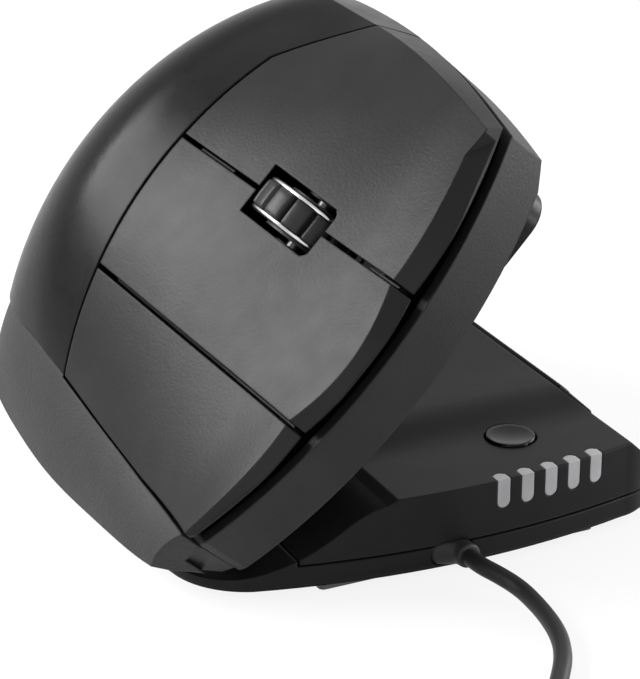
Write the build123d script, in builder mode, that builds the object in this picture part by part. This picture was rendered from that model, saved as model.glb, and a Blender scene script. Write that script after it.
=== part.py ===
from build123d import *

import math
import os

os.makedirs("parts", exist_ok=True)

# Frame: +Z up from the desk, +X to the thumb side, -Y to the cord side.
# Lengths are millimetres and angles are degrees.

# Sizes shared by many pieces
overrun = 2.0
touch_overlap = 0.4
running_fit = 0.05
moving_gap = 0.4
seam_gap = 0.5
groove = 0.9
shell_wall = 2.0
board_thickness = 1.6

# Head: its own frame has u across the fingers, v along them and n out of the palm
head_angle = 47.0
head_foot_x = -34.0
head_foot_z = 9.0
head_width = 85.0
head_length = 112.0
crown_height = 34.0
heel_inset = 4.0
heel_share = 0.14
face_inset_share = 0.6

# Front of the head, seen along n
front_left_u, front_left_v = -3.0, -49.5
front_middle_u, front_middle_v = 37.5, -58.3
front_right_u, front_right_v = 78.0, -47.0
corner_left_u, corner_left_v = -15.0, -37.0
front_corner_radius = 1.6
lip_height = 13.0
bumper_height = 10.5
bumper_setback = 0.3
bumper_draft = 8.0
front_overhang = 8.5

# Finger buttons
index_groove_front_u, index_groove_rear_u = 47.9, 46.3
middle_groove_front_u, middle_groove_rear_u = 20.4, 20.0
rear_seam_v = 0.0
rear_seam_bend_u = 66.0
seam_bend_run, seam_bend_rise = 9.0, 4.2
seam_end_run, seam_end_rise = 24.0, 15.0
bevel_setback = 1.6
bevel_slope_share = 0.8
bevel_depth = 7.5
bevel_lip = 0.3
button_front_wall = 4.6
stem_diameter = 4.0
stem_gap = 0.95

# Black frame under the buttons
frame_low = 8.0
frame_plate = 1.4
frame_rim_top = 11.8
frame_setback = 4.2
frame_rear_v = -3.0
frame_left_u = 16.0
frame_corner_v = -34.5
rib_thickness = 0.5
stake_radius = 1.2
stake_rise = 0.5
stake_shoulder = 0.6
stake_hole_gap = 1.2
frame_stakes = [(24.0, -50.5), (48.0, -51.5), (30.0, -9.0), (76.5, -7.0)]
wheel_opening_half = 8.0

# Boards and switches in the head
board_n = 5.0
switch_length, switch_width, switch_height = 12.0, 5.8, 5.6
plunger_radius, plunger_height = 1.2, 0.6
switch_v = -41.0
switch_us = (62.0, 34.0, 9.5)
tact_size, tact_height = 6.0, 3.4
board_left_u, board_right_u = 4.0, 70.0
board_step_u, board_middle_u = 15.6, 57.0
board_front_v, board_rear_v = -44.0, -3.5
board_shoulder_v, board_step_v = -37.0, -35.0
post_radius = 2.6
board_posts = [(22.0, -38.5), (54.5, -30.0), (24.0, -14.0), (54.5, -7.0)]
thumb_board_n = 6.2
thumb_board_thickness = 1.2
thumb_board_left_u, thumb_board_right_u = 57.6, 74.0
thumb_board_front_v, thumb_board_rear_v = -32.0, 18.0
thumb_board_posts = [(59.5, -9.0), (72.0, -9.0)]

# Thumb panel and its buttons, on the underside of the head
panel_left_u, panel_right_u = 56.0, 74.0
panel_front_v, panel_rear_v = -49.0, 34.0
panel_depth = 2.6
panel_corner = 6.0
thumb_cap_left_u, thumb_cap_right_u = 57.5, 67.0
forward_front_v, forward_rear_v = -46.5, -8.0
back_front_v, back_rear_v = -6.0, 24.0
thumb_cap_low, thumb_cap_high = -4.2, -1.0
thumb_cap_corner = 4.0
thumb_cap_edge = 0.8
thumb_stem_radius = 1.8
thumb_stem_top = 2.8

# Screws in the head
screw_radius = 1.4
screw_head_radius, screw_head_height = 2.6, 1.0
screw_length = 10.0
screw_end_gap = 0.6
palm_posts = [(24.0, 26.0), (50.0, 26.0), (33.0, 8.0)]

# Scroll wheel
wheel_u, wheel_v, wheel_n = 46.9, -25.4, 16.8
wheel_radius = 10.0
wheel_width = 7.4
wheel_slot_v = -28.2
wheel_slot_length = 15.6
wheel_slot_width = 9.6
slot_corner = 1.6
wheel_press_travel = 0.7
rim_width = 1.3
rim_drop = 0.4
rim_bevel = 0.5
tyre_ribs = 14
rib_cut = 0.7
hub_radius = 6.0
axle_diameter = 2.4
cheek_gap = 0.9
cheek_thickness = 1.4
cheek_half_length = 3.2
carrier_low, carrier_high = 10.8, 13.0
carrier_reach = 12.8
carrier_bar = 1.6
switch_tab_reach = 20.0
encoder_left_u, encoder_right_u = 36.6, 39.4
encoder_half_length = 3.0
encoder_top = 20.0

# Head hinge, in the head's own frame
hinge_u, hinge_n = 10.5, 5.0
pin_diameter = 4.0
pin_overhang = 1.0
pin_gap = 0.3
lug_thickness = 3.0
lug_radius = 3.4
lug_neck_left, lug_neck_right = 1.4, 2.6
front_lug_v, rear_lug_v = -28.0, -1.0
lug_slot_start_u, lug_slot_end_u = 2.7, 13.2
knuckle_radius = 3.9
knuckle_length = 6.0
sleeve_radius = 2.9
bracket_left, bracket_right = -33.5, -27.5
bracket_low, bracket_foot = 2.2, 1.8
bracket_margin = 2.0

# Side grip along the ring and little finger side
grip_crest_bulge = 1.2
grip_edge_run, grip_edge_drop = 1.3, 2.7
grip_sole_n = 1.2
grip_wall = 2.0
grip_stations_v = (-60.0, -42.0, -30.0, -10.0, 10.0, 24.0, 36.0, 44.0)
grip_edge_us = (-11.0, -12.0, -13.5, -14.7, -14.7, -13.2, -10.0, 6.0)
grip_edge_ns = (9.5, 9.5, 9.5, 9.5, 10.0, 11.0, 12.0, 8.0)
corner_wrap_u, corner_wrap_v, corner_wrap_n = -7.8, -40.0, 8.2

# Base
base_width = 88.0
base_length = 109.6
foot_height = 0.8
seam_height = 5.0
base_seam_gap = 0.4
ledge_height = 15.0
deck_height = 16.8
deck_peak = 18.0
tail_height = 9.0
fall_rise = 1.0
ramp_front, ramp_rear = -37.0, -22.0
flank_run, flank_drop = 8.6, 8.2
flank_foot = 7.3
floor_thickness = 1.8
lid_wall = 1.8
side_wall = 2.0
bottom_step = 0.8
shoulder_x, shoulder_z = -8.5, 15.6
slope_foot_z = 3.3
lid_left_x = -27.0
cavity_left_x = -25.0
lid_hollow_run, lid_hollow_drop = 1.2, 1.6
post_top_z = 8.0
base_post_radius = 2.8
base_posts = [(-14.0, -39.0), (36.0, -39.0), (36.0, 43.0), (-14.0, 45.0)]
base_screw_length = 9.0
skate_edge = 1.0
front_skate_xs = (-14.0, 20.0)
front_skate_y, middle_skate_y, rear_skate_y = -46.0, 0.0, 51.5
skate_half_length, skate_half_width = 9.0, 2.2

# Front lights, speed button and cord gland
light_xs = (9.2, 13.9, 18.6, 23.3, 28.0)
light_width = 2.4
light_low = 9.9
light_wrap = 2.5
speed_x, speed_y = 18.4, -37.2
speed_radius = 4.2
speed_top = 15.4
speed_thickness = 2.6
speed_dish_depth = 0.5
speed_flange = 0.6
gland_x, gland_z = -0.2, 3.5
gland_width, gland_height = 8.0, 4.4
gland_face_y, gland_inner_y = -50.9, -46.6
gland_flange = 1.0
gland_flange_thickness = 1.2
nose_x, nose_radius = 1.6, 2.2

# Base board
base_board_z = 4.4
base_board_left_x, base_board_right_x = -21.0, 32.0
base_board_step_x = 12.0
base_board_front_y, base_board_rear_y = -45.0, 14.0
base_board_step_y = -24.0
stand_radius = 2.0
board_stands = [(-18.5, -33.0), (28.0, -41.0), (-18.5, 10.0), (8.0, 10.0)]
diode_size, diode_height = 2.4, 1.4
sensor_y = -16.0
sensor_width, sensor_length, sensor_height = 12.0, 14.0, 2.4
lens_width, lens_length = 10.0, 16.0
lens_radius = 2.0
lens_window = 6.0
lens_rise = 1.0
speed_switch_height = 4.2

# Thumb rest, folded flush with the flank
rest_front, rest_rear = -23.0, 30.0
rest_thickness = 3.4
rest_proud = 0.8
rest_axis_reach = 2.4
rest_top_margin = 0.9
pad_margin = 1.6
pad_sink, pad_rise = 0.8, 0.2
rest_pin_radius = 0.8
notch_margin = 1.2
arm_width = 3.6
arm_ys = (-12.0, 18.0)
arm_height = 2.0
carriage_left_x = 14.0
carriage_bar = 4.0
rail_setback = 3.0
pocket_wall = 1.4
pocket_floor_z = 6.2

# Cord
cord_diameter = 3.0
loop_pitch = 3.45
loop_mid_radius = 16.5
loops_per_layer = 4
coil_layers = 4
arcs_per_turn = 4
climb_share = 0.25
arc_share = 0.45
direction_share = 0.01
samples_per_turn = 24
coil_x, coil_y = -8.0, -141.0
tie_width, tie_thickness, tie_gap = 6.0, 0.5, 0.1
grip_length, grip_width, grip_height = 24.0, 11.6, 8.6
plug_length, plug_width, plug_height = 12.0, 12.0, 4.5
plug_skin = 0.4
lead_route = [
    (1.6, -54.0, 3.5),
    (1.6, -57.0, 3.5),
    (3.7, -60.6, 2.7),
    (5.4, -64.6, 1.8),
    (5.4, -69.8, 1.5),
    (4.7, -75.4, 1.5),
    (3.3, -81.0, 1.5),
    (0.6, -86.8, 1.5),
    (-3.3, -92.2, 1.5),
    (-9.2, -99.8, 1.5),
    (-16.2, -108.2, 1.5),
    (-22.8, -117.0, 1.5),
    (-28.2, -126.0, 1.7),
    (-31.4, -132.6, 2.1),
    (-31.4, -138.0, 2.1),
]
tail_route = [
    (-31.4, -144.0, 12.45),
    (-31.4, -149.0, 12.45),
    (-32.4, -157.0, 10.4),
    (-34.2, -165.0, 6.2),
    (-35.4, -172.0, 4.3),
    (-35.4, -178.0, 4.3),
]


# Head frame
tilt = math.radians(head_angle)
across = Vector(math.cos(tilt), 0, math.sin(tilt))
outward = Vector(-math.sin(tilt), 0, math.cos(tilt))
along = Vector(0, 1, 0)


def head_point(u, v, n):
    """World place of a point given in the head's frame."""
    return Vector(head_foot_x, 0, head_foot_z) + across * u + along * v + outward * n


def head_plane(n):
    """Plane parallel to the head's floor: sketches on it are drawn in u and v."""
    return Plane(origin=head_point(0, 0, n), x_dir=across, z_dir=outward)


def station_plane(v):
    """Plane across the head: sketches on it are drawn in u and n."""
    return Plane(origin=head_point(0, v, 0), x_dir=across, z_dir=(0, -1, 0))


def side_plane(u):
    """Plane along the head: sketches on it are drawn in v and n."""
    return Plane(origin=head_point(u, 0, 0), x_dir=along, z_dir=across)


# Cross-sections of the head, as shares of its length, width and crown height.
# Each row: place along the head, then little finger edge, ridge, thumb edge and lip.
head_section_shares = [
    (-0.536, (-0.065, 0.362), (0.412, 0.418), (0.876, 0.440), (0.888, 0.368)),
    (-0.411, (-0.047, 0.412), (0.435, 0.510), (0.900, 0.475), (0.920, 0.382)),
    (-0.268, (-0.034, 0.447), (0.465, 0.666), (0.935, 0.545), (0.960, 0.382)),
    (-0.134, (-0.013, 0.541), (0.488, 0.809), (0.952, 0.588), (0.985, 0.382)),
    (0.000, (0.009, 0.622), (0.506, 0.947), (0.953, 0.597), (0.995, 0.382)),
    (0.098, (0.027, 0.692), (0.500, 1.058), (0.950, 0.635), (0.993, 0.394)),
    (0.196, (0.035, 0.706), (0.480, 1.018), (0.935, 0.560), (0.980, 0.356)),
    (0.286, (0.059, 0.664), (0.445, 0.862), (0.893, 0.430), (0.938, 0.288)),
    (0.375, (0.118, 0.485), (0.438, 0.610), (0.818, 0.305), (0.863, 0.208)),
    (0.464, (0.235, 0.235), (0.447, 0.265), (0.682, 0.176), (0.729, 0.132)),
    (0.500, (0.318, 0.103), (0.471, 0.124), (0.612, 0.100), (0.635, 0.076)),
]


def scaled(pair):
    """Point of a cross-section from its shares."""
    return pair[0] * head_width, pair[1] * crown_height


def head_form(inset, rows, ruled=False):
    """Form of the head through its cross-sections, drawn in by the inset on every side."""
    with BuildPart() as form:
        for reach, crease_share, ridge_share, face_share, lip_share in rows:
            crease_u, crease_n = scaled(crease_share)
            ridge_u, ridge_n = scaled(ridge_share)
            face_u, face_n = scaled(face_share)
            lip_u, lip_n = scaled(lip_share)
            crease = (crease_u + inset, crease_n - inset)
            ridge = (ridge_u, ridge_n - inset)
            face = (face_u - inset * face_inset_share, face_n - inset)
            lip = (lip_u - inset, lip_n)
            heel = (lip_u - inset, lip_n * heel_share + inset)
            sole = (lip_u - heel_inset - inset, inset)
            with BuildSketch(station_plane(reach * head_length)):
                with BuildLine():
                    ThreePointArc(crease, ridge, face)
                    Polyline(face, lip, heel, sole, (crease_u + inset, inset), crease)
                make_face()
        loft(ruled=ruled)
    return form.part


def circle_through(a, b, c):
    """Centre and radius of the circle through three points."""
    ax, ay, bx, by, cx, cy = *a, *b, *c
    d = 2 * (ax * (by - cy) + bx * (cy - ay) + cx * (ay - by))
    sa, sb, sc = ax * ax + ay * ay, bx * bx + by * by, cx * cx + cy * cy
    x = (sa * (by - cy) + sb * (cy - ay) + sc * (ay - by)) / d
    y = (sa * (cx - bx) + sb * (ax - cx) + sc * (bx - ax)) / d
    return x, y, math.hypot(ax - x, ay - y)


front_left = (front_left_u, front_left_v)
front_middle = (front_middle_u, front_middle_v)
front_right = (front_right_u, front_right_v)
front_centre_u, front_centre_v, front_radius = circle_through(front_left, front_middle, front_right)


def front_v(u, setback=0.0):
    """Where the front outline lies at u, drawn back by the setback."""
    reach = front_radius - setback
    return front_centre_v - math.sqrt(reach * reach - (u - front_centre_u) ** 2)


def front_region(setback):
    """Plan of everything behind the front outline, drawn in u and v."""
    far = head_length + head_width
    right_u = front_right_u + front_overhang
    with BuildSketch(mode=Mode.PRIVATE) as region:
        with BuildLine():
            left = (front_left_u, front_v(front_left_u, setback))
            right = (right_u, front_v(right_u, setback))
            ThreePointArc(left, (front_middle_u, front_v(front_middle_u, setback)), right)
            slope = (corner_left_v - front_left_v) / (corner_left_u - front_left_u)
            flare_u = corner_left_u - head_width
            flare_v = left[1] + slope * (flare_u - front_left_u)
            Polyline(right, (far, right[1]), (far, far), (flare_u, far), (flare_u, flare_v), left)
        make_face()
    return region.sketch


def front_prism(setback, low, high, draft=0.0):
    """Space behind the front outline between two heights, narrowing downwards."""
    drawn_in = (high - low) * math.tan(math.radians(draft))
    with BuildPart() as prism:
        for level, reach in ((high, setback), (low, setback + drawn_in)):
            with BuildSketch(head_plane(level)):
                add(front_region(reach))
        loft(ruled=True)
    return prism.part


head_outer = head_form(0.0, head_section_shares)
head_inner = head_form(shell_wall, head_section_shares[:-2], ruled=True)
above_all = crown_height + overrun
bottom_align = (Align.CENTER, Align.CENTER, Align.MIN)


def block(plane, across_span, along_span, height):
    """Box standing on a plane between two places each way."""
    (left, right), (near, far) = across_span, along_span
    with BuildPart(plane) as piece:
        with Locations(((left + right) / 2, (near + far) / 2, 0)):
            Box(right - left, far - near, height, align=bottom_align)
    return piece.part


def peg(plane, across_place, along_place, height, radius):
    """Round post standing on a plane."""
    with BuildPart(plane) as piece:
        with Locations((across_place, along_place, 0)):
            Cylinder(radius, height, align=bottom_align)
    return piece.part


def prism(plane, points, height):
    """Straight prism over a closed outline drawn on a plane."""
    with BuildPart() as piece:
        with BuildSketch(plane):
            with BuildLine():
                Polyline(*points, close=True)
            make_face()
        extrude(amount=height)
    return piece.part


def pad(plane, across_span, along_span, height, corner):
    """Plate with round corners standing on a plane."""
    (left, right), (near, far) = across_span, along_span
    with BuildPart() as piece:
        with BuildSketch(plane):
            with Locations(((left + right) / 2, (near + far) / 2)):
                RectangleRounded(right - left, far - near, corner)
        extrude(amount=height)
    return piece.part


def about(middle, half):
    """Span centred on a place."""
    return middle - half, middle + half


# Space inside the shells, held back from the front by the wall
def head_hollow(setback, low, high, draft=0.0):
    """Room inside the head behind a front wall."""
    with BuildPart() as hollow:
        add(head_inner)
        add(front_prism(setback, low, high, draft), mode=Mode.INTERSECT)
    return hollow.part


case_hollow = head_hollow(bumper_setback + shell_wall, -overrun, bumper_height + overrun, bumper_draft)
upper_hollow = head_hollow(button_front_wall, lip_height - seam_gap, above_all)

# Edges of the head in plan, from the cross-sections
far_front = -head_length
far_side = head_width + front_middle_u
finger_rows = head_section_shares[:5]
crease_edge = [(row[1][0] * head_width, row[0] * head_length) for row in finger_rows]
lip_edge = [(row[4][0] * head_width, row[0] * head_length) for row in finger_rows]


def groove_line(front_u, rear_u, shift):
    """Two far ends of a groove, moved sideways by the shift."""
    slope = (rear_u - front_u) / (rear_seam_v - front_middle_v)
    front_end = front_u + slope * (far_front - front_middle_v) + shift
    rear_end = front_u + slope * (head_length - front_middle_v) + shift
    return [(front_end, far_front), (rear_end, head_length)]


def seam_end(seam):
    """Far end of the rear seam on the thumb side."""
    return rear_seam_bend_u + seam_end_run, seam - seam_end_rise


def seam_prism(shift, low):
    """Space in front of the rear seam, which bends forward at the thumb edge."""
    seam = rear_seam_v + shift
    bend = (rear_seam_bend_u, seam)
    with BuildPart() as region:
        with BuildSketch(head_plane(low)):
            with BuildLine():
                on_the_bend = (rear_seam_bend_u + seam_bend_run, seam - seam_bend_rise)
                ThreePointArc(bend, on_the_bend, seam_end(seam))
                corners = ((far_side, far_front), (-far_side, far_front), (-far_side, seam))
                Polyline(seam_end(seam), *corners, bend)
            make_face()
        extrude(amount=above_all - low)
    return region.part


# Finger buttons
switch_top = board_n + board_thickness + switch_height + plunger_height
above_lip = above_all - lip_height
wheel_slot = pad(
    head_plane(lip_height),
    about(wheel_u, wheel_slot_width / 2),
    about(wheel_slot_v, wheel_slot_length / 2),
    above_lip,
    slot_corner,
)


def wheel_disc(radius, half_width):
    """Round disc on the wheel's axis."""
    return peg(side_plane(wheel_u - half_width), wheel_v, wheel_n, 2 * half_width, radius)


wheel_room = wheel_disc(wheel_radius + seam_gap, wheel_slot_width / 2)


def bevel_tool(left_u, right_u, left_setback, right_setback):
    """Space in front of a button's bevelled edge, which is hollowed towards its corners."""
    middle_u = (left_u + right_u) / 2
    left = (left_u, front_v(left_u) + left_setback)
    middle = (middle_u, front_v(middle_u))
    right = (right_u, front_v(right_u) + right_setback)
    centre_u, centre_v, radius = circle_through(left, middle, right)
    nearest = min(left[1], middle[1], right[1])
    height = 2 * bevel_depth
    low_radius = radius + overrun * bevel_slope_share + bevel_lip
    top_radius = low_radius - height * bevel_slope_share
    with BuildPart(head_plane(lip_height - overrun)) as tool:
        with Locations((middle_u, nearest + bevel_depth, 0)):
            slab_align = (Align.CENTER, Align.MAX, Align.MIN)
            Box(right_u - left_u + 2 * bevel_depth, 2 * bevel_depth, height, align=slab_align)
        with Locations((centre_u, centre_v, 0)):
            Cone(low_radius, top_radius, height, align=bottom_align, mode=Mode.SUBTRACT)
    return tool.part


def common(first, *others):
    """Space that all the given solids share."""
    with BuildPart() as shared:
        add(first)
        for other in others:
            add(other, mode=Mode.INTERSECT)
    return shared.part


def crown_button(left_edge, right_edge, bevel_ends, stem_u):
    """One finger button: a piece of the crown with its front skirt and its stem."""
    stem_low = switch_top + stem_gap
    stem = peg(head_plane(stem_low), stem_u, switch_v, above_all - stem_low, stem_diameter / 2)
    with BuildPart() as button:
        add(head_outer)
        add(upper_hollow, mode=Mode.SUBTRACT)
        add(common(stem, head_outer))
        add(front_prism(0.0, lip_height, above_all), mode=Mode.INTERSECT)
        add(prism(head_plane(lip_height), left_edge + right_edge[::-1], above_lip), mode=Mode.INTERSECT)
        add(seam_prism(-seam_gap / 2, lip_height), mode=Mode.INTERSECT)
        add(bevel_tool(*bevel_ends), mode=Mode.SUBTRACT)
        add(wheel_slot, mode=Mode.SUBTRACT)
        add(wheel_room, mode=Mode.SUBTRACT)
    return button.part


half_groove = groove / 2
outer_groove = (index_groove_front_u, index_groove_rear_u)
inner_groove = (middle_groove_front_u, middle_groove_rear_u)
ring_outer_edge = [(edge_u + seam_gap, edge_v) for edge_u, edge_v in crease_edge]
index_outer_edge = [(far_side, far_front), (far_side, head_length)]
pieces = {}
pieces["index_button"] = crown_button(
    groove_line(*outer_groove, half_groove),
    index_outer_edge,
    (index_groove_front_u, front_right_u, bevel_setback, 0),
    switch_us[0],
)
pieces["middle_button"] = crown_button(
    groove_line(*inner_groove, half_groove),
    groove_line(*outer_groove, -half_groove),
    (middle_groove_front_u, index_groove_front_u, bevel_setback, bevel_setback),
    switch_us[1],
)
pieces["ring_button"] = crown_button(
    ring_outer_edge,
    groove_line(*inner_groove, -half_groove),
    (front_left_u, middle_groove_front_u, 0, bevel_setback),
    switch_us[2],
)

# Palm shell behind the buttons, with its screw posts
palm_low = bumper_height + seam_gap / 2

with BuildPart() as palm_shell:
    add(head_outer)
    add(head_inner, mode=Mode.SUBTRACT)
    add(seam_prism(seam_gap / 2, -overrun), mode=Mode.SUBTRACT)
    palm_region = block(head_plane(palm_low), (-far_side, far_side), (-head_length, head_length), above_all)
    add(palm_region, mode=Mode.INTERSECT)
    for post_u, post_v in palm_posts:
        post = peg(head_plane(shell_wall), post_u, post_v, above_all, post_radius)
        add(common(post, head_outer))
        add(peg(head_plane(0), post_u, post_v, screw_length, screw_radius + running_fit), mode=Mode.SUBTRACT)
pieces["palm_shell"] = palm_shell.part

# Side grip
def grip_section(row):
    """Outline of the grip across the head at one station, in u and n."""
    station_v, edge_u, edge_n = row
    crease_u, crease_n = crease_at(station_v)
    middle_u, middle_n = (crease_u + edge_u) / 2, (crease_n + edge_n) / 2
    reach = math.hypot(crease_u - edge_u, crease_n - edge_n)
    bulge_u = (edge_n - crease_n) / reach * grip_crest_bulge
    bulge_n = (crease_u - edge_u) / reach * grip_crest_bulge
    return (crease_u, crease_n), (middle_u + bulge_u, middle_n + bulge_n), (edge_u, edge_n)


def crease_at(v):
    """Little finger edge of the head at v, between the nearest cross-sections."""
    rows = [(row[0] * head_length, *scaled(row[1])) for row in head_section_shares]
    for (near_v, near_u, near_n), (far_v, far_u, far_n) in zip(rows, rows[1:]):
        if v <= far_v:
            part_way = (v - near_v) / (far_v - near_v)
            return near_u + (far_u - near_u) * part_way, near_n + (far_n - near_n) * part_way
    return far_u, far_n


with BuildPart() as grip_form:
    for station in zip(grip_stations_v, grip_edge_us, grip_edge_ns):
        crest, crown, edge = grip_section(station)
        with BuildSketch(station_plane(station[0])):
            with BuildLine():
                ThreePointArc(crest, crown, edge)
                low_edge = (edge[0] + grip_edge_run, edge[1] - grip_edge_drop)
                sole = (crest[0] - grip_wall, grip_sole_n)
                inner_sole = (crest[0] + grip_wall, grip_sole_n)
                Polyline(edge, low_edge, sole, inner_sole, (crest[0] + grip_wall, crest[1]), crest)
            make_face()
    loft()
    add(front_prism(0.0, -overrun, above_all), mode=Mode.INTERSECT)
    add(head_outer, mode=Mode.SUBTRACT)
    right_of_crease = [*crease_edge, (far_side, rear_seam_v), (far_side, far_front)]
    add(prism(head_plane(-overrun), right_of_crease, above_all), mode=Mode.SUBTRACT)
corner_outline = [
    (front_left_u, bumper_height),
    (corner_wrap_u, corner_wrap_n),
    (corner_wrap_u, -overrun),
    (far_side, -overrun),
    (far_side, bumper_height),
]
corner_room = prism(station_plane(corner_wrap_v), corner_outline, head_length)
with BuildPart() as side_grip:
    add(grip_form.part)
    add(corner_room, mode=Mode.SUBTRACT)
pieces["side_grip"] = side_grip.part

# Lower shell with the front bumper, the hinge knuckles and the posts
pin_radius = pin_diameter / 2
half_lug = lug_thickness / 2
pin_front_v = front_lug_v - half_lug - pin_overhang
pin_rear_v = rear_lug_v + half_lug + pin_overhang
front_knuckle_v = front_lug_v + half_lug + moving_gap
rear_knuckle_v = rear_lug_v - half_lug - moving_gap - knuckle_length
thumb_button_u = (thumb_cap_left_u + thumb_cap_right_u) / 2
thumb_button_vs = ((forward_front_v + forward_rear_v) / 2, (back_front_v + back_rear_v) / 2)


def pin_bar(from_v, to_v, radius):
    """Round bar on the hinge axis."""
    return peg(station_plane(to_v), hinge_u, hinge_n, to_v - from_v, radius)


def pin_seat(from_v, to_v, radius):
    """Bar on the hinge axis with the block that carries it on the floor."""
    low = shell_wall - touch_overlap
    with BuildPart() as seat:
        add(block(head_plane(low), about(hinge_u, radius), (from_v, to_v), hinge_n - low))
        add(pin_bar(from_v, to_v, radius))
    return seat.part


with BuildPart() as head_case:
    add(head_outer)
    add(case_hollow, mode=Mode.SUBTRACT)
    add(common(grip_form.part, corner_room))
    add(front_prism(bumper_setback, -overrun, bumper_height, bumper_draft), mode=Mode.INTERSECT)
    for knuckle_v in (front_knuckle_v, rear_knuckle_v):
        add(pin_seat(knuckle_v, knuckle_v + knuckle_length, knuckle_radius))
    add(pin_bar(pin_front_v - overrun, pin_rear_v + overrun, pin_radius + running_fit), mode=Mode.SUBTRACT)
    for lug_v in (front_lug_v, rear_lug_v):
        slot_span = (lug_slot_start_u, lug_slot_end_u)
        lug_span = about(lug_v, half_lug + moving_gap)
        add(block(head_plane(-overrun), slot_span, lug_span, shell_wall + 2 * overrun), mode=Mode.SUBTRACT)
    floor_n = shell_wall - touch_overlap
    stake_top = frame_low + frame_plate + stake_rise
    for stake_u, stake_v in frame_stakes:
        add(peg(head_plane(floor_n), stake_u, stake_v, frame_low - floor_n, stake_radius + stake_shoulder))
        add(peg(head_plane(floor_n), stake_u, stake_v, stake_top - floor_n, stake_radius))
    for post_u, post_v in board_posts:
        add(peg(head_plane(floor_n), post_u, post_v, board_n - floor_n, stand_radius))
    for post_u, post_v in thumb_board_posts:
        add(peg(head_plane(floor_n), post_u, post_v, thumb_board_n - floor_n, stand_radius))
    through = 2 * overrun + shell_wall
    head_room = screw_head_height + overrun
    for button_v in thumb_button_vs:
        window_radius = thumb_stem_radius + moving_gap
        add(peg(head_plane(-overrun), thumb_button_u, button_v, through, window_radius), mode=Mode.SUBTRACT)
    for post_u, post_v in palm_posts:
        for depth, radius in ((through, screw_radius), (head_room, screw_head_radius)):
            add(peg(head_plane(-overrun), post_u, post_v, depth, radius + running_fit), mode=Mode.SUBTRACT)
pieces["head_case"] = head_case.part

with BuildPart() as head_screws:
    for post_u, post_v in palm_posts:
        add(peg(head_plane(0), post_u, post_v, screw_head_height, screw_head_radius))
        add(peg(head_plane(0), post_u, post_v, screw_length - screw_end_gap, screw_radius))
pieces["head_screws"] = head_screws.part

# Hinge pin and the friction sleeve that holds the head at its angle
with BuildPart() as hinge_pin:
    add(pin_bar(pin_front_v, pin_rear_v, pin_radius))
pieces["hinge_pin"] = hinge_pin.part

sleeve_front_v = front_knuckle_v + knuckle_length + moving_gap
sleeve_rear_v = rear_knuckle_v - moving_gap
with BuildPart() as friction_sleeve:
    sleeve_along = (sleeve_front_v, sleeve_rear_v)
    add(block(head_plane(shell_wall), about(hinge_u, sleeve_radius), sleeve_along, hinge_n - shell_wall))
    add(pin_bar(*sleeve_along, sleeve_radius))
    add(pin_bar(*sleeve_along, pin_radius + running_fit), mode=Mode.SUBTRACT)
pieces["friction_sleeve"] = friction_sleeve.part


# Black frame under the buttons
def frame_prism(inset, low, high):
    """Straight prism over the frame's outline, drawn in by the inset."""
    setback = frame_setback + inset
    left_u, rear_v = frame_left_u + inset, frame_rear_v - inset
    corner_v = frame_corner_v - inset
    outline = [
        (left_u, rear_v),
        (left_u, corner_v),
        (crease_edge[1][0] + setback, corner_v),
        (crease_edge[0][0] + setback, far_front),
        (lip_edge[0][0] - setback, far_front),
        *[(edge_u - setback, edge_v) for edge_u, edge_v in lip_edge[:-1]],
        (lip_edge[-1][0] - setback, rear_v),
    ]
    with BuildPart() as piece:
        add(prism(head_plane(low), outline, high - low))
        add(front_prism(setback, low, high), mode=Mode.INTERSECT)
    return piece.part


def groove_rib(front_u, rear_u, opening):
    """Thin rib that closes a groove from below."""
    half = rib_thickness / 2
    outline = groove_line(front_u, rear_u, -half) + groove_line(front_u, rear_u, half)[::-1]
    with BuildPart() as rib:
        add(prism(head_plane(frame_low), outline, above_all - frame_low))
        add(head_inner, mode=Mode.INTERSECT)
        add(front_prism(frame_setback, frame_low, above_all), mode=Mode.INTERSECT)
        behind = block(head_plane(0), about(0, far_side), (frame_rear_v, head_length), above_all)
        add(behind, mode=Mode.SUBTRACT)
        if opening:
            add(opening, mode=Mode.SUBTRACT)
    return rib.part


wheel_gap_half = carrier_reach + 2 * moving_gap
wheel_opening = block(
    head_plane(frame_low - overrun),
    about(wheel_u, cheek_gap + wheel_width),
    (wheel_v - switch_tab_reach, wheel_v + wheel_gap_half),
    above_all,
)
switch_way = about(switch_v, switch_width / 2 + seam_gap)
frame_openings = [(about(switch_u, switch_length / 2 + seam_gap), switch_way) for switch_u in switch_us]
encoder_way = about(wheel_v, encoder_half_length + seam_gap)
frame_openings += [
    (about(wheel_u, wheel_width / 2 + seam_gap), about(wheel_v, wheel_opening_half)),
    (about(wheel_u, tact_size / 2 + seam_gap), about(switch_v, tact_size / 2 + seam_gap)),
    ((encoder_left_u - seam_gap, encoder_right_u + seam_gap), encoder_way),
]
with BuildPart() as button_frame:
    add(frame_prism(0, frame_low, frame_rim_top))
    rim_room = frame_prism(frame_plate, frame_low + frame_plate, frame_rim_top + overrun)
    add(rim_room, mode=Mode.SUBTRACT)
    add(groove_rib(*outer_groove, wheel_opening))
    add(groove_rib(*inner_groove, None))
    for across_span, along_span in frame_openings:
        add(block(head_plane(0), across_span, along_span, frame_rim_top), mode=Mode.SUBTRACT)
    for stake_u, stake_v in frame_stakes:
        stake_hole = peg(head_plane(0), stake_u, stake_v, frame_rim_top, stake_radius + running_fit)
        add(stake_hole, mode=Mode.SUBTRACT)
pieces["button_frame"] = button_frame.part

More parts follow.
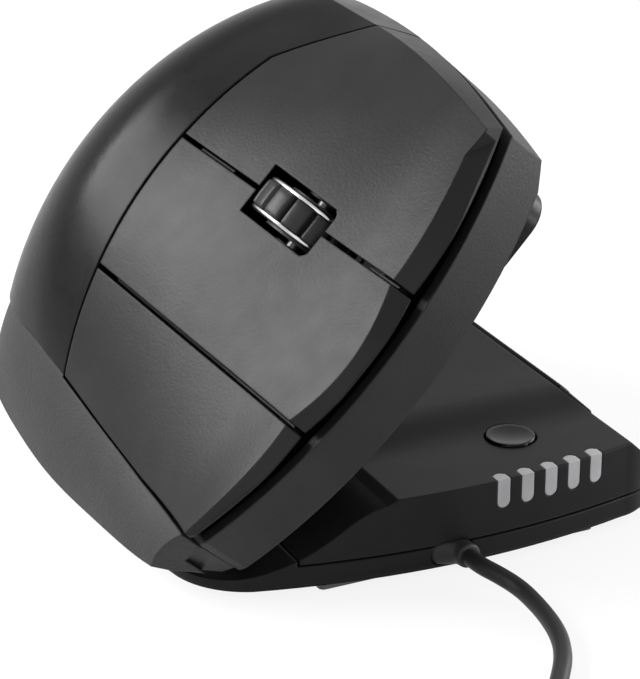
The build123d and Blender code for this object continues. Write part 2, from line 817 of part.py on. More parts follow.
# Board and switches of the head
with BuildPart() as head_board:
    outline = [
        (board_left_u, board_front_v),
        (board_right_u, board_front_v),
        (board_right_u, board_shoulder_v),
        (board_middle_u, board_shoulder_v),
        (board_middle_u, board_rear_v),
        (board_step_u, board_rear_v),
        (board_step_u, board_step_v),
        (board_left_u, board_step_v),
    ]
    add(prism(head_plane(board_n), outline, board_thickness))
    wheel_notch = (about(wheel_u, wheel_width / 2 + seam_gap), about(wheel_v, hub_radius))
    add(block(head_plane(0), *wheel_notch, crown_height), mode=Mode.SUBTRACT)
    for stake_u, stake_v in frame_stakes:
        stake_hole = peg(head_plane(0), stake_u, stake_v, crown_height, stake_radius + stake_hole_gap)
        add(stake_hole, mode=Mode.SUBTRACT)
pieces["head_board"] = head_board.part

board_top = board_n + board_thickness
with BuildPart() as button_switches:
    for switch_u in switch_us:
        switch_spans = (about(switch_u, switch_length / 2), about(switch_v, switch_width / 2))
        add(block(head_plane(board_top), *switch_spans, switch_height))
        add(peg(head_plane(board_top), switch_u, switch_v, switch_height + plunger_height, plunger_radius))
pieces["button_switches"] = button_switches.part

with BuildPart() as wheel_switch:
    tact_spans = (about(wheel_u, tact_size / 2), about(switch_v, tact_size / 2))
    add(block(head_plane(board_top), *tact_spans, tact_height - plunger_height))
    add(peg(head_plane(board_top), wheel_u, switch_v, tact_height, plunger_radius))
pieces["wheel_switch"] = wheel_switch.part

with BuildPart() as wheel_encoder:
    encoder_span = (encoder_left_u, encoder_right_u)
    encoder_along = about(wheel_v, encoder_half_length)
    add(block(head_plane(board_top), encoder_span, encoder_along, encoder_top - board_top))
    axle_room = axle_diameter / 2 + wheel_press_travel + pin_gap
    add(peg(side_plane(0), wheel_v, wheel_n, far_side, axle_room), mode=Mode.SUBTRACT)
pieces["wheel_encoder"] = wheel_encoder.part

# Wheel: hub, ribbed tyre, two bright rims and the axle
with BuildPart() as wheel_hub:
    add(wheel_disc(hub_radius, wheel_width / 2))
    add(wheel_disc(axle_diameter / 2, wheel_width), mode=Mode.SUBTRACT)
pieces["wheel_hub"] = wheel_hub.part

tyre_half = wheel_width / 2 - rim_width
with BuildPart() as wheel_tyre:
    add(wheel_disc(wheel_radius, tyre_half))
    add(wheel_disc(hub_radius, tyre_half), mode=Mode.SUBTRACT)
    tread_plane = side_plane(wheel_u - wheel_width)
    with BuildSketch(tread_plane):
        with Locations((wheel_v, wheel_n)):
            with PolarLocations(wheel_radius, tyre_ribs):
                Rectangle(2 * rib_cut, rib_cut)
    extrude(amount=2 * wheel_width, mode=Mode.SUBTRACT)
pieces["wheel_tyre"] = wheel_tyre.part

rim_radius = wheel_radius - rim_drop


def rim(side):
    """Bright disc on one side of the tyre, bevelled on its outer edge."""
    inner_u = wheel_u + side * tyre_half
    across_the_wheel = Plane(origin=head_point(inner_u, wheel_v, wheel_n), x_dir=along, z_dir=across * side)
    with BuildPart(across_the_wheel) as disc:
        straight = rim_width - rim_bevel
        Cylinder(rim_radius, straight, align=bottom_align)
        with Locations((0, 0, straight)):
            Cone(rim_radius, rim_radius - rim_bevel, rim_bevel, align=bottom_align)
    return disc.part


with BuildPart() as wheel_rims:
    for side in (-1, 1):
        add(rim(side))
    add(wheel_disc(hub_radius, wheel_width), mode=Mode.SUBTRACT)
pieces["wheel_rims"] = wheel_rims.part

axle_left = encoder_left_u + cheek_gap
cheek_inner = wheel_width / 2 + cheek_gap
cheek_outer = cheek_inner + cheek_thickness
with BuildPart() as wheel_axle:
    axle_right = wheel_u + cheek_outer + cheek_gap
    add(peg(side_plane(axle_left), wheel_v, wheel_n, axle_right - axle_left, axle_diameter / 2))
pieces["wheel_axle"] = wheel_axle.part

with BuildPart() as wheel_carrier:
    carrier_plane = head_plane(carrier_low)
    carrier_height = carrier_high - carrier_low
    add(block(carrier_plane, about(wheel_u, cheek_outer), about(wheel_v, carrier_reach), carrier_height))
    ring_room = (about(wheel_u, cheek_inner), about(wheel_v, carrier_reach - carrier_bar))
    add(block(carrier_plane, *ring_room, carrier_height), mode=Mode.SUBTRACT)
    for side in (-1, 1):
        cheek_span = sorted((wheel_u + side * cheek_inner, wheel_u + side * cheek_outer))
        add(block(carrier_plane, cheek_span, about(wheel_v, cheek_half_length), wheel_n - carrier_low))
        add(peg(side_plane(cheek_span[0]), wheel_v, wheel_n, cheek_thickness, cheek_half_length))
    tab_span = (wheel_v - switch_tab_reach, wheel_v - carrier_reach + carrier_bar)
    add(block(carrier_plane, about(wheel_u, carrier_bar), tab_span, carrier_bar))
    add(peg(side_plane(0), wheel_v, wheel_n, far_side, axle_diameter / 2 + pin_gap), mode=Mode.SUBTRACT)
pieces["wheel_carrier"] = wheel_carrier.part

# Thumb panel, its two buttons, their board and switches
with BuildPart() as thumb_panel:
    panel_spans = ((panel_left_u, panel_right_u), (panel_front_v, panel_rear_v))
    add(pad(head_plane(-panel_depth), *panel_spans, panel_depth, panel_corner))
    for front_v_end, rear_v_end in ((forward_front_v, forward_rear_v), (back_front_v, back_rear_v)):
        cap_across = (thumb_cap_left_u - moving_gap, thumb_cap_right_u + moving_gap)
        cap_along = (front_v_end - moving_gap, rear_v_end + moving_gap)
        cap_room = pad(head_plane(-panel_depth), cap_across, cap_along, panel_depth, thumb_cap_corner)
        add(cap_room, mode=Mode.SUBTRACT)
pieces["thumb_panel"] = thumb_panel.part


def thumb_button(front_end, rear_end):
    """One thumb button: a cap standing proud of the panel, with its stem."""
    cap_height = thumb_cap_high - thumb_cap_low
    with BuildPart() as button:
        cap_spans = ((thumb_cap_left_u, thumb_cap_right_u), (front_end, rear_end))
        add(pad(head_plane(thumb_cap_low), *cap_spans, cap_height, thumb_cap_corner))
        fillet(faces().sort_by(Axis(head_plane(0).origin, outward))[0].edges(), thumb_cap_edge)
        middle_v = (front_end + rear_end) / 2
        stem_low = thumb_cap_low + panel_depth
        stem_height = thumb_stem_top - stem_low
        add(peg(head_plane(stem_low), thumb_button_u, middle_v, stem_height, thumb_stem_radius))
    return button.part


pieces["forward_button"] = thumb_button(forward_front_v, forward_rear_v)
pieces["back_button"] = thumb_button(back_front_v, back_rear_v)

with BuildPart() as thumb_board:
    thumb_board_across = (thumb_board_left_u, thumb_board_right_u)
    thumb_board_along = (thumb_board_front_v, thumb_board_rear_v)
    add(block(head_plane(thumb_board_n), thumb_board_across, thumb_board_along, thumb_board_thickness))
pieces["thumb_board"] = thumb_board.part

with BuildPart() as thumb_switches:
    plunger_low = thumb_stem_top + 2 * moving_gap
    body_low = plunger_low + plunger_height
    for button_v in thumb_button_vs:
        switch_spans = (about(thumb_button_u, tact_size / 2), about(button_v, tact_size / 2))
        add(block(head_plane(body_low), *switch_spans, thumb_board_n - body_low))
        plunger_span = thumb_board_n - plunger_low
        add(peg(head_plane(plunger_low), thumb_button_u, button_v, plunger_span, plunger_radius))
pieces["thumb_switches"] = thumb_switches.part

# Base: outline seen from above, as shares of its width and length
base_plan_arcs_shares = [
    ((-0.386, -0.420), (0.034, -0.471), (0.398, -0.442)),
    ((0.398, -0.442), (0.472, -0.413), (0.500, -0.351)),
    ((0.500, 0.310), (0.420, 0.456), (0.250, 0.511)),
    ((0.250, 0.511), (0.000, 0.529), (-0.250, 0.511)),
    ((-0.250, 0.511), (-0.432, 0.456), (-0.500, 0.310)),
    ((-0.500, -0.274), (-0.472, -0.365), (-0.386, -0.420)),
]
# Rear part of the deck seen from the side, as shares of the base's length
deck_rear_shares = (0.091, 0.347, 0.456, 0.547)
tail_slope_share = 1.0
# Hollow that clears the head's low side, as shares of the base's width
slope_shares = [
    (-0.511, 0.0),
    (-0.359, 0.098),
    (-0.305, 0.244),
    (-0.248, 0.48),
    (-0.182, 0.813),
    (-0.136, 0.935),
]


def level_plane(z):
    """Level plane at a height."""
    return Plane(origin=(0, 0, z))


def cross_plane(y):
    """Plane across the base: sketches on it are drawn in x and z."""
    return Plane(origin=(0, y, 0), x_dir=(1, 0, 0), z_dir=(0, -1, 0))


def base_prism(inset, low, high):
    """Straight prism over the base's outline, drawn in by the inset."""
    with BuildPart() as piece:
        with BuildSketch(level_plane(low)):
            with BuildLine():
                arcs = [[(x * base_width, y * base_length) for x, y in arc] for arc in base_plan_arcs_shares]
                for arc in arcs:
                    ThreePointArc(*arc)
                for first, second in ((1, 2), (4, 5)):
                    Line(arcs[first][2], arcs[second][0])
            make_face()
            if inset:
                offset(amount=-inset)
        extrude(amount=high - low)
    return piece.part


def deck_prism(drop):
    """Space below the deck's side profile, lowered by the drop."""
    peak_y, shoulder_y, fall_y, tail_y = [share * base_length for share in deck_rear_shares]
    ledge, deck, peak, tail = [z - drop for z in (ledge_height, deck_height, deck_peak, tail_height)]
    ramp_run = (ramp_rear - ramp_front) / 2
    with BuildPart() as piece:
        with BuildSketch(Plane(origin=(-base_width, 0, 0), x_dir=(0, 1, 0), z_dir=(1, 0, 0))):
            with BuildLine():
                front, ramp_top = (ramp_front, ledge), (ramp_rear, deck)
                Bezier(front, (ramp_front + ramp_run, ledge), (ramp_rear - ramp_run, deck), ramp_top)
                fall = (peak + tail) / 2 + fall_rise
                Spline(
                    ramp_top,
                    (peak_y, peak),
                    (shoulder_y, (peak + deck) / 2),
                    (fall_y, fall),
                    (tail_y, tail),
                    tangents=[(1, 0), (1, -tail_slope_share)],
                )
                below = ((tail_y, -overrun), (-base_length, -overrun))
                Polyline((tail_y, tail), *below, (-base_length, ledge), front)
            make_face()
        extrude(amount=2 * base_width)
    return piece.part


flank_length = math.hypot(flank_run, flank_drop)
half_width = base_width / 2


def flank_point(reach, rise):
    """Place in x and z: up along the flank from its foot, and out of its face."""
    x = half_width - reach * flank_run / flank_length + rise * flank_drop / flank_length
    z = flank_foot + reach * flank_drop / flank_length + rise * flank_run / flank_length
    return x, z


def flank_cutter(sink):
    """Space outside the sloping flank, sunk into the base."""
    far = 2 * flank_length
    corners = [(-far, -sink), (-far, far), (far, far), (far, -sink)]
    outline = [flank_point(*corner) for corner in corners]
    return prism(cross_plane(base_length), outline, 2 * base_length)


def slope_cutter(run, drop):
    """Space over the low side of the base, moved right and down."""
    rise = ledge_height - slope_foot_z
    points = [(x * base_width + run, slope_foot_z + z * rise - drop) for x, z in slope_shares]
    top = base_width
    with BuildPart() as piece:
        with BuildSketch(cross_plane(base_length)):
            with BuildLine():
                Spline(*points)
                end_x, end_z = shoulder_x + run, shoulder_z - drop
                far_corners = ((end_x, top), (-base_width, top), (-base_width, points[0][1]))
                Polyline(points[-1], (end_x, end_z), *far_corners, points[0])
            make_face()
        extrude(amount=2 * base_length)
    return piece.part


with BuildPart() as base_form:
    add(base_prism(bottom_step, foot_height, base_width))
    add(base_prism(0, foot_height + bottom_step, base_width))
    add(deck_prism(0), mode=Mode.INTERSECT)
    add(flank_cutter(0), mode=Mode.SUBTRACT)
    add(slope_cutter(0, 0), mode=Mode.SUBTRACT)
outer_base = base_form.part

rest_top_reach = flank_length - rest_top_margin
pocket_sink = rest_thickness - rest_proud + moving_gap


def pocket(margin):
    """Room for the folded thumb rest in the flank, widened by a margin."""
    sink = pocket_sink + margin
    top_reach = rest_top_reach + moving_gap + margin
    floor_z = pocket_floor_z - margin
    floor_reach = (floor_z - flank_foot + sink * flank_run / flank_length) * flank_length / flank_drop
    outline = [
        (base_width, floor_z),
        flank_point(floor_reach, -sink),
        flank_point(top_reach, -sink),
        flank_point(top_reach, flank_length),
        (base_width, base_width),
    ]
    rear = rest_rear + moving_gap + margin
    return prism(cross_plane(rear), outline, rear - rest_front + moving_gap + margin)


with BuildPart() as base_room:
    add(base_prism(side_wall, foot_height + floor_thickness, base_width))
    add(deck_prism(lid_wall), mode=Mode.INTERSECT)
    add(flank_cutter(lid_wall), mode=Mode.SUBTRACT)
    add(slope_cutter(lid_hollow_run, lid_hollow_drop), mode=Mode.SUBTRACT)
    left_side = block(level_plane(0), (-base_width, cavity_left_x), (-base_length, base_length), base_width)
    add(left_side, mode=Mode.SUBTRACT)
    add(pocket(pocket_wall), mode=Mode.SUBTRACT)
room = base_room.part
seam_top = seam_height + base_seam_gap
whole_length = (-base_length, base_length)
right_of_seam = block(level_plane(seam_height), (lid_left_x, base_width), whole_length, base_width)
lid_region = block(
    level_plane(seam_top),
    (lid_left_x + base_seam_gap, base_width),
    whole_length,
    base_width,
)

# Places of the boards, lights and switches in the base
board_floor = foot_height + floor_thickness
base_board_top = base_board_z + board_thickness
speed_switch_top = base_board_top + speed_switch_height
gland_plane = cross_plane(gland_inner_y)


def oval(plane, width, height, depth):
    """Oval plug along the cord's way out."""
    with BuildPart() as piece:
        with BuildSketch(plane):
            with Locations((gland_x, gland_z)):
                SlotOverall(width, height)
        extrude(amount=depth)
    return piece.part


gland_way = oval(gland_plane, gland_width, gland_height, base_length)
flange_plane = cross_plane(gland_inner_y + gland_flange_thickness)
flange_form = oval(flange_plane, gland_width + 2 * gland_flange, gland_height, gland_flange_thickness)
eye_x, eye_z = flank_point(rest_axis_reach, rest_proud - rest_thickness / 2)
eye_radius = rest_thickness / 2
arm_low = eye_z - eye_radius
arm_top = arm_low + arm_height

with BuildPart() as base_bottom:
    add(outer_base)
    add(right_of_seam, mode=Mode.SUBTRACT)
    add(room, mode=Mode.SUBTRACT)
    post_height = post_top_z - foot_height - base_seam_gap
    for post_x, post_y in base_posts:
        add(peg(level_plane(foot_height), post_x, post_y, post_height, base_post_radius))
    for stand_x, stand_y in board_stands:
        add(peg(level_plane(foot_height), stand_x, stand_y, base_board_z - foot_height, stand_radius))
    for arm_y in arm_ys:
        rail_across = (carriage_left_x, eye_x - eye_radius - rail_setback)
        rail_height = arm_low - pin_gap - foot_height
        add(block(level_plane(foot_height), rail_across, about(arm_y, arm_width / 2), rail_height))
    head_room = foot_height + screw_head_height
    for post_x, post_y in base_posts:
        for depth, radius in ((base_screw_length, screw_radius), (head_room, screw_head_radius)):
            add(peg(level_plane(0), post_x, post_y, depth, radius + running_fit), mode=Mode.SUBTRACT)
    bracket_across = (bracket_left, bracket_right)
    bracket_along = (front_lug_v - half_lug - bracket_margin, rear_lug_v + half_lug + bracket_margin)
    add(block(level_plane(bracket_low), bracket_across, bracket_along, base_width), mode=Mode.SUBTRACT)
    add(gland_way, mode=Mode.SUBTRACT)
    add(flange_form, mode=Mode.SUBTRACT)
    half_window = lens_window / 2
    lens_opening = block(level_plane(0), about(0, half_window), about(sensor_y, half_window), board_floor)
    add(lens_opening, mode=Mode.SUBTRACT)
pieces["base_bottom"] = base_bottom.part

with BuildPart() as hinge_bracket:
    add(block(level_plane(bracket_low), bracket_across, bracket_along, bracket_foot))
    pivot = head_point(hinge_u, 0, hinge_n)
    for lug_v in (front_lug_v, rear_lug_v):
        lug_along = about(lug_v, half_lug)
        neck = (pivot.X - lug_neck_left, pivot.X + lug_neck_right)
        add(block(level_plane(bracket_low), neck, lug_along, pivot.Z - bracket_low))
        add(pin_bar(*lug_along, lug_radius))
    add(pin_bar(pin_front_v, pin_rear_v, pin_radius + pin_gap), mode=Mode.SUBTRACT)
pieces["hinge_bracket"] = hinge_bracket.part


def light_window(x, sink):
    """Window of one light: down the front wall and a little over the edge."""
    half = light_width / 2
    front_y = -math.sqrt(plan_radius ** 2 - (x - plan_centre_x) ** 2) + plan_centre_y
    with BuildPart() as window:
        with BuildSketch(cross_plane(front_y + sink)):
            with Locations((x, light_low + half)):
                Circle(half)
            with Locations((x, light_low + half)):
                Rectangle(light_width, base_width, align=(Align.CENTER, Align.MIN))
        extrude(amount=base_length)
        with BuildSketch(level_plane(ledge_height - sink)):
            with Locations((x, front_y + light_wrap - half)):
                Circle(half)
                Rectangle(light_width, base_length, align=(Align.CENTER, Align.MAX))
        extrude(amount=base_width)
    return window.part


front_arc = [(x * base_width, y * base_length) for x, y in base_plan_arcs_shares[0]]
plan_centre_x, plan_centre_y, plan_radius = circle_through(*front_arc)
with BuildPart() as speed_lights:
    for light_x in light_xs:
        add(light_window(light_x, side_wall))
    add(outer_base, mode=Mode.INTERSECT)
pieces["speed_lights"] = speed_lights.part

with BuildPart() as base_top:
    add(outer_base)
    add(room, mode=Mode.SUBTRACT)
    for post_x, post_y in base_posts:
        post = peg(level_plane(post_top_z), post_x, post_y, base_width, base_post_radius)
        add(common(post, outer_base))
    add(lid_region, mode=Mode.INTERSECT)
    add(pocket(0), mode=Mode.SUBTRACT)
    for arm_y in arm_ys:
        arm_way = about(arm_y, arm_width / 2 + moving_gap)
        way_height = arm_top + 2 * moving_gap - pocket_floor_z
        arm_channel = block(level_plane(pocket_floor_z), (carriage_left_x, half_width), arm_way, way_height)
        add(arm_channel, mode=Mode.SUBTRACT)
    for light_x in light_xs:
        add(light_window(light_x, side_wall), mode=Mode.SUBTRACT)
    button_room = peg(level_plane(seam_top), speed_x, speed_y, base_width, speed_radius + moving_gap)
    add(button_room, mode=Mode.SUBTRACT)
    for post_x, post_y in base_posts:
        screw_hole = peg(level_plane(0), post_x, post_y, base_screw_length, screw_radius + running_fit)
        add(screw_hole, mode=Mode.SUBTRACT)
    add(gland_way, mode=Mode.SUBTRACT)
    add(flange_form, mode=Mode.SUBTRACT)
pieces["base_top"] = base_top.part

with BuildPart() as speed_button:
    cap_low = speed_top - speed_thickness
    add(peg(level_plane(cap_low), speed_x, speed_y, speed_thickness, speed_radius))
    dish_radius = (speed_radius ** 2 + speed_dish_depth ** 2) / (2 * speed_dish_depth)
    with Locations((speed_x, speed_y, speed_top - speed_dish_depth + dish_radius)):
        Sphere(dish_radius, mode=Mode.SUBTRACT)
    flange_low, flange_radius = cap_low - speed_flange, speed_radius + 2 * moving_gap
    add(peg(level_plane(flange_low), speed_x, speed_y, speed_flange, flange_radius))
    stem_low = speed_switch_top + 2 * moving_gap
    add(peg(level_plane(stem_low), speed_x, speed_y, cap_low - stem_low, stem_diameter / 2))
pieces["speed_button"] = speed_button.part

# Base board with its switch, light diodes and motion sensor
with BuildPart() as base_board:
    outline = [
        (base_board_left_x, base_board_front_y),
        (base_board_right_x, base_board_front_y),
        (base_board_right_x, base_board_step_y),
        (base_board_step_x, base_board_step_y),
        (base_board_step_x, base_board_rear_y),
        (base_board_left_x, base_board_rear_y),
    ]
    add(prism(level_plane(base_board_z), outline, board_thickness))
    add(peg(level_plane(0), 0, sensor_y, base_width, lens_radius), mode=Mode.SUBTRACT)
    add(peg(level_plane(0), *base_posts[0], base_width, base_post_radius + moving_gap), mode=Mode.SUBTRACT)
pieces["base_board"] = base_board.part

with BuildPart() as speed_switch:
    switch_plane = level_plane(base_board_top)
    tact_spans = (about(speed_x, tact_size / 2), about(speed_y, tact_size / 2))
    add(block(switch_plane, *tact_spans, speed_switch_height - plunger_height))
    add(peg(switch_plane, speed_x, speed_y, speed_switch_height, plunger_radius))
pieces["speed_switch"] = speed_switch.part

with BuildPart() as light_diodes:
    for light_x in light_xs:
        diode_along = (base_board_front_y, base_board_front_y + diode_size)
        add(block(level_plane(base_board_top), about(light_x, diode_size / 2), diode_along, diode_height))
pieces["light_diodes"] = light_diodes.part

with BuildPart() as motion_sensor:
    sensor_spans = (about(0, sensor_width / 2), about(sensor_y, sensor_length / 2))
    add(block(level_plane(base_board_top), *sensor_spans, sensor_height))
pieces["motion_sensor"] = motion_sensor.part

with BuildPart() as sensor_lens:
    lens_spans = (about(0, lens_width / 2), about(sensor_y, lens_length / 2))
    add(block(level_plane(board_floor), *lens_spans, base_board_z - board_floor))
    add(peg(level_plane(foot_height + lens_rise), 0, sensor_y, floor_thickness, lens_radius))
pieces["sensor_lens"] = sensor_lens.part

# Gliding feet, screws and the cord gland
skate_places = [(skate_x, front_skate_y) for skate_x in front_skate_xs]
skate_places += [(0, middle_skate_y), (0, rear_skate_y)]
with BuildPart() as base_skates:
    for skate_x, skate_y in skate_places:
        skate_spans = (about(skate_x, skate_half_length), about(skate_y, skate_half_width))
        add(pad(level_plane(0), *skate_spans, foot_height, skate_edge))
pieces["base_skates"] = base_skates.part

with BuildPart() as base_screws:
    for post_x, post_y in base_posts:
        add(peg(level_plane(foot_height), post_x, post_y, screw_head_height, screw_head_radius))
        shank = base_screw_length - foot_height - screw_end_gap
        add(peg(level_plane(foot_height), post_x, post_y, shank, screw_radius))
pieces["base_screws"] = base_screws.part

cord_radius = cord_diameter / 2
with BuildPart() as strain_relief:
    add(oval(gland_plane, gland_width, gland_height, gland_inner_y - gland_face_y))
    add(flange_form)
    add(peg(cross_plane(gland_inner_y), nose_x, gland_z, gland_inner_y - lead_route[0][1], nose_radius))
pieces["strain_relief"] = strain_relief.part

# Thumb rest on its carriage
def rest_form():
    """Plate of the thumb rest with its round hinge edge, before its cuts."""
    inner = rest_proud - rest_thickness
    outline = [
        flank_point(rest_axis_reach, inner),
        flank_point(rest_top_reach, inner),
        flank_point(rest_top_reach, rest_proud),
        flank_point(rest_axis_reach, rest_proud),
    ]
    with BuildPart() as plate:
        add(prism(cross_plane(rest_rear), outline, rest_rear - rest_front))
        add(peg(cross_plane(rest_rear), eye_x, eye_z, rest_rear - rest_front, eye_radius))
    return plate.part


def rest_pad(low, high, margin):
    """Soft pad on the thumb rest."""
    low_reach = rest_axis_reach + pad_margin + margin
    high_reach = rest_top_reach - margin
    corners = [(low_reach, low), (high_reach, low), (high_reach, high), (low_reach, high)]
    outline = [flank_point(*corner) for corner in corners]
    rear = rest_rear - margin
    return prism(cross_plane(rear), outline, rear - rest_front - margin)


with BuildPart() as thumb_rest:
    add(rest_form())
    for arm_y in arm_ys:
        notch = [flank_point(reach, rise) for reach, rise in (
            (-eye_radius, -rest_thickness),
            (rest_axis_reach + eye_radius + notch_margin, -rest_thickness),
            (rest_axis_reach + eye_radius + notch_margin, rest_thickness),
            (-eye_radius, rest_thickness),
        )]
        notch_rear = arm_y + arm_width / 2 + moving_gap
        add(prism(cross_plane(notch_rear), notch, arm_width + 2 * moving_gap), mode=Mode.SUBTRACT)
    rest_span = rest_rear - rest_front
    pin_room = peg(cross_plane(rest_rear), eye_x, eye_z, rest_span, rest_pin_radius + running_fit)
    add(pin_room, mode=Mode.SUBTRACT)
    add(rest_pad(rest_proud - pad_sink, rest_proud + overrun, pad_margin), mode=Mode.SUBTRACT)
pieces["thumb_rest"] = thumb_rest.part

with BuildPart() as thumb_pad:
    add(rest_pad(rest_proud - pad_sink, rest_proud + pad_rise, pad_margin))
pieces["thumb_pad"] = thumb_pad.part

with BuildPart() as thumb_rest_pin:
    rest_pin_length = rest_rear - rest_front - 2 * pad_margin
    add(peg(cross_plane(rest_rear - pad_margin), eye_x, eye_z, rest_pin_length, rest_pin_radius))
pieces["thumb_rest_pin"] = thumb_rest_pin.part

with BuildPart() as thumb_carriage:
    for arm_y in arm_ys:
        add(block(level_plane(arm_low), (carriage_left_x, eye_x), about(arm_y, arm_width / 2), arm_height))
        add(peg(cross_plane(arm_y + arm_width / 2), eye_x, eye_z, arm_width, eye_radius))
    bar_across = (carriage_left_x, carriage_left_x + carriage_bar)
    add(block(level_plane(arm_low), bar_across, arm_ys, arm_height))
    pin_room = peg(cross_plane(rest_rear), eye_x, eye_z, rest_span, rest_pin_radius + pin_gap)
    add(pin_room, mode=Mode.SUBTRACT)
pieces["thumb_carriage"] = thumb_carriage.part


# Cord: the stretch on the desk, the coil with its tie, and the plug
def cord_tube(route):
    """Tube along straight runs joined by arcs as large as the runs allow."""
    places = [Vector(*point) for point in route]
    radii = []
    for before, here, after in zip(places, places[1:], places[2:]):
        turn = math.radians((here - before).get_angle(after - here))
        shorter = min((here - before).length, (after - here).length)
        radii.append(arc_share * shorter / math.tan(turn / 2))
    with BuildPart() as tube:
        with BuildLine() as path:
            FilletPolyline(*places, radius=radii)
        with BuildSketch(Plane(origin=path.line @ 0, z_dir=path.line % 0)):
            Circle(cord_radius)
        sweep()
    length = path.wires()[0].length
    plain = math.pi * cord_radius ** 2 * length
    print("radii", [round(radius, 1) for radius in radii])
    print("length", round(length), "volume share", round(tube.part.volume / plain, 4))
    return tube.part


def coil_place(turns):
    """Place on the coil's middle line after a number of turns."""
    leg, way = divmod(turns, loops_per_layer)
    inward = way if leg % 2 == 0 else loops_per_layer - way
    radius = loop_mid_radius + loop_pitch * (loops_per_layer / 2 - inward)
    nearest_climb = max(1, min(coil_layers - 1, round(turns / loops_per_layer)))
    off_climb = max(-climb_share, min(climb_share, turns - nearest_climb * loops_per_layer))
    climbed = nearest_climb + (off_climb / climb_share - 1) / 2
    angle = 2 * math.pi * turns + math.pi
    x = coil_x + radius * math.cos(angle)
    y = coil_y + radius * math.sin(angle)
    return Vector(x, y, coil_low + climbed * loop_pitch)


def coil_direction(turns):
    """Direction of the coil's middle line, level at its two ends."""
    if turns in (0, coil_turns):
        return Vector(0, -1, 0)
    ahead, behind = coil_place(turns + direction_share), coil_place(turns - direction_share)
    return (ahead - behind).normalized()


coil_turns = loops_per_layer * coil_layers
coil_low = lead_route[-1][2]
arc_turns = [arc / arcs_per_turn for arc in range(arcs_per_turn * coil_turns + 1)]


def biarc_middle(start, start_way, end, end_way):
    """Place where two tangent arcs from start to end meet."""
    chord = end - start
    both = start_way + end_way
    ahead = chord.dot(both)
    spread = 2 * (1 - start_way.dot(end_way))
    reach = (-ahead + math.sqrt(ahead ** 2 + spread * chord.dot(chord))) / spread
    return (start + start_way * reach + end - end_way * reach) / 2


def least_gap(points):
    """Least free space between turns of the coil, from points along it."""
    per_turn = len(points) // coil_turns
    least = base_width
    for index, point in enumerate(points):
        for other in points[index + per_turn // 2:]:
            least = min(least, (point - other).length)
    return least - cord_diameter


with BuildPart() as cord_coil:
    with BuildLine() as coil_path:
        first, last = coil_place(0), coil_place(coil_turns)
        Line(first + Vector(0, cord_diameter, 0), first)
        for before, after in zip(arc_turns, arc_turns[1:]):
            start, end = coil_place(before), coil_place(after)
            middle = biarc_middle(start, coil_direction(before), end, coil_direction(after))
            arc = TangentArc(start, middle, tangent=coil_direction(before))
            TangentArc(middle, end, tangent=arc % 1)
        Line(last, last - Vector(0, cord_diameter, 0))
    with BuildSketch(Plane(origin=coil_path.line @ 0, z_dir=(0, -1, 0))):
        Circle(cord_radius)
    sweep()
pieces["cord_coil"] = cord_coil.part
samples = [coil_place(index / samples_per_turn) for index in range(samples_per_turn * coil_turns + 1)]
print("coil length", round(coil_path.wires()[0].length), "least gap", round(least_gap(samples), 2))

pieces["cord_lead"] = cord_tube(lead_route)
pieces["cord_tail"] = cord_tube(tail_route)

with BuildPart() as coil_tie:
    bundle_half = loops_per_layer * loop_pitch / 2 + cord_radius + tie_gap
    bundle_top = coil_low + (coil_layers - 1) * loop_pitch + cord_radius + tie_gap
    bundle_low = coil_low - cord_radius - tie_gap
    tie_across = about(coil_x, tie_width / 2)
    tie_middle_y = coil_y - loop_mid_radius
    outer_low = bundle_low - tie_thickness
    outer_height = bundle_top - bundle_low + 2 * tie_thickness
    tie_along = about(tie_middle_y, bundle_half + tie_thickness)
    bundle_along, bundle_height = about(tie_middle_y, bundle_half), bundle_top - bundle_low
    bundle_room = block(level_plane(bundle_low), tie_across, bundle_along, bundle_height)
    add(block(level_plane(outer_low), tie_across, tie_along, outer_height))
    add(bundle_room, mode=Mode.SUBTRACT)
pieces["coil_tie"] = coil_tie.part

plug_x, plug_y, plug_z = tail_route[-1]
with BuildPart() as usb_grip:
    with BuildSketch(cross_plane(plug_y)):
        with Locations((plug_x, plug_z)):
            RectangleRounded(grip_width, grip_height, grip_height / 4)
    extrude(amount=grip_length)
pieces["usb_grip"] = usb_grip.part

with BuildPart() as usb_shell:
    with BuildSketch(cross_plane(plug_y - grip_length)):
        with Locations((plug_x, plug_z)):
            Rectangle(plug_width, plug_height)
            Rectangle(plug_width - 2 * plug_skin, plug_height - 2 * plug_skin, mode=Mode.SUBTRACT)
    extrude(amount=plug_length)
    with BuildSketch(cross_plane(plug_y - grip_length)):
        with Locations((plug_x, plug_z)):
            tongue_width, tongue_height = plug_width - 2 * plug_skin, plug_height / 2 - plug_skin
            Rectangle(tongue_width, tongue_height, align=(Align.CENTER, Align.MIN))
    extrude(amount=plug_length - 2 * plug_skin)
pieces["usb_shell"] = usb_shell.part

for name, piece in pieces.items():
    piece.label = name
    export_step(piece, f"parts/{name}.step")
    print(name, len(piece.solids()), piece.is_valid, round(piece.volume))
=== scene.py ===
import math

import bmesh
import bpy
from mathutils import Matrix, Vector


